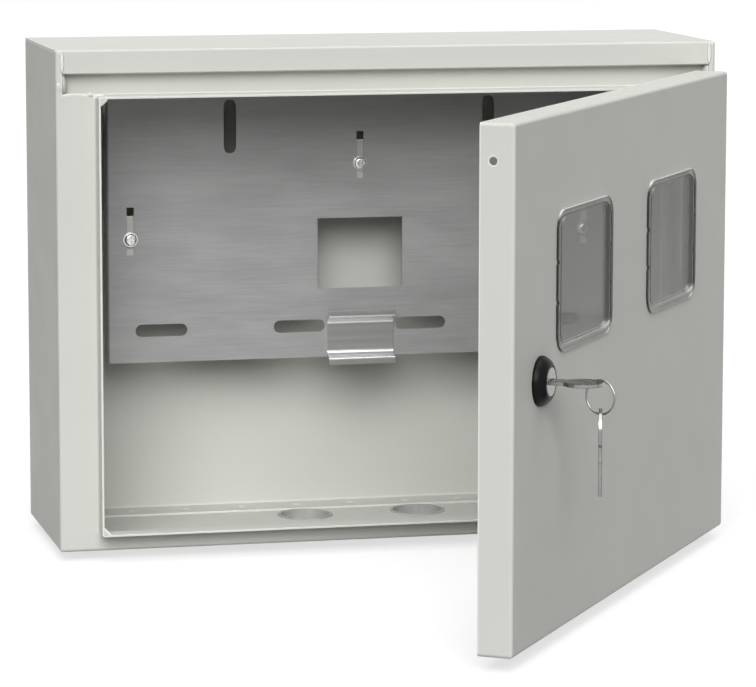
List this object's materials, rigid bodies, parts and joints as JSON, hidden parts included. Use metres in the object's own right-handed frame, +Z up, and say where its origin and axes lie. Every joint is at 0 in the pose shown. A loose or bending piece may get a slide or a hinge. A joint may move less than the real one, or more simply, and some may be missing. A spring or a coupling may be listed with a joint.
{
  "type": "electric meter box",
  "caption": "Wall-mounted sheet-steel box for electric meters, with a hinged windowed door, cam lock and key, slotted mounting plate, short rail and cable entries.",
  "frame": {"origin": "middle of the four wall holes, on the back face of the box", "axes": "+X to the right seen from the front, +Y into the wall, +Z up"},
  "size_m": [0.4232, 0.4865, 0.316],
  "materials": {
    "powder_coat": "satin",
    "galvanised": "satin",
    "zinc": "bright",
    "clear_plastic": "clear",
    "black_plastic": "gloss",
    "nickel": "polished",
    "grey_rubber": "matte",
    "black_foam": "matte"
  },
  "bodies": {
    "box": {"body_shell": "powder_coat", "roof_panel": "powder_coat", "back_panel": "powder_coat", "cable_grommet_left": "grey_rubber", "cable_grommet_right": "grey_rubber", "mounting_plate": "galvanised", "plate_brackets": "powder_coat", "plate_screws": "zinc", "din_rail": "zinc", "hinge_bracket_upper": "powder_coat", "hinge_bracket_lower": "powder_coat", "hinge_pin_upper": "zinc", "hinge_pin_lower": "zinc", "earth_stud": "zinc", "earth_washer": "zinc", "earth_nut": "zinc"},
    "door": {"door_panel": "powder_coat", "door_hinge_arm_upper": "powder_coat", "door_hinge_arm_lower": "powder_coat", "door_seal": "black_foam", "window_left": "clear_plastic", "window_right": "clear_plastic", "door_earth_stud": "zinc", "door_earth_nut": "zinc", "lock_housing": "black_plastic", "lock_nut": "zinc"},
    "lock": {"lock_plug": "nickel", "lock_cam": "zinc", "cam_screw": "zinc"},
    "key": {"lock_key": "nickel"},
    "ring": {"key_ring": "nickel"},
    "spare": {"spare_key": "nickel"}
  },
  "joints": [
    {"name": "door_hinge", "type": "hinge", "parent": "box", "child": "door", "pos_m": [0.2038, -0.1406, 0], "axis": [0, 0, 1], "range_deg": [-56, 64]},
    {"name": "lock_turn", "type": "hinge", "parent": "door", "child": "lock", "pos_m": [-0.01287, -0.4375, -0.0072], "axis": [-0.829, 0.5592, 0], "range_deg": [0, 90]},
    {"name": "key_slide", "type": "slide", "parent": "lock", "child": "key", "axis": [0.829, -0.5592, 0], "range_m": [0, 0.0195]},
    {"name": "ring_swing", "type": "hinge", "parent": "key", "child": "ring", "pos_m": [0.03505, -0.46982, -0.0072], "axis": [-0.5592, -0.829, 0], "range_deg": [-5, 60]},
    {"name": "spare_swing", "type": "hinge", "parent": "ring", "child": "spare", "pos_m": [0.03505, -0.46982, -0.0234], "axis": [-0.6293, 0.7771, 0], "range_deg": [-45, 45]}
  ]
}
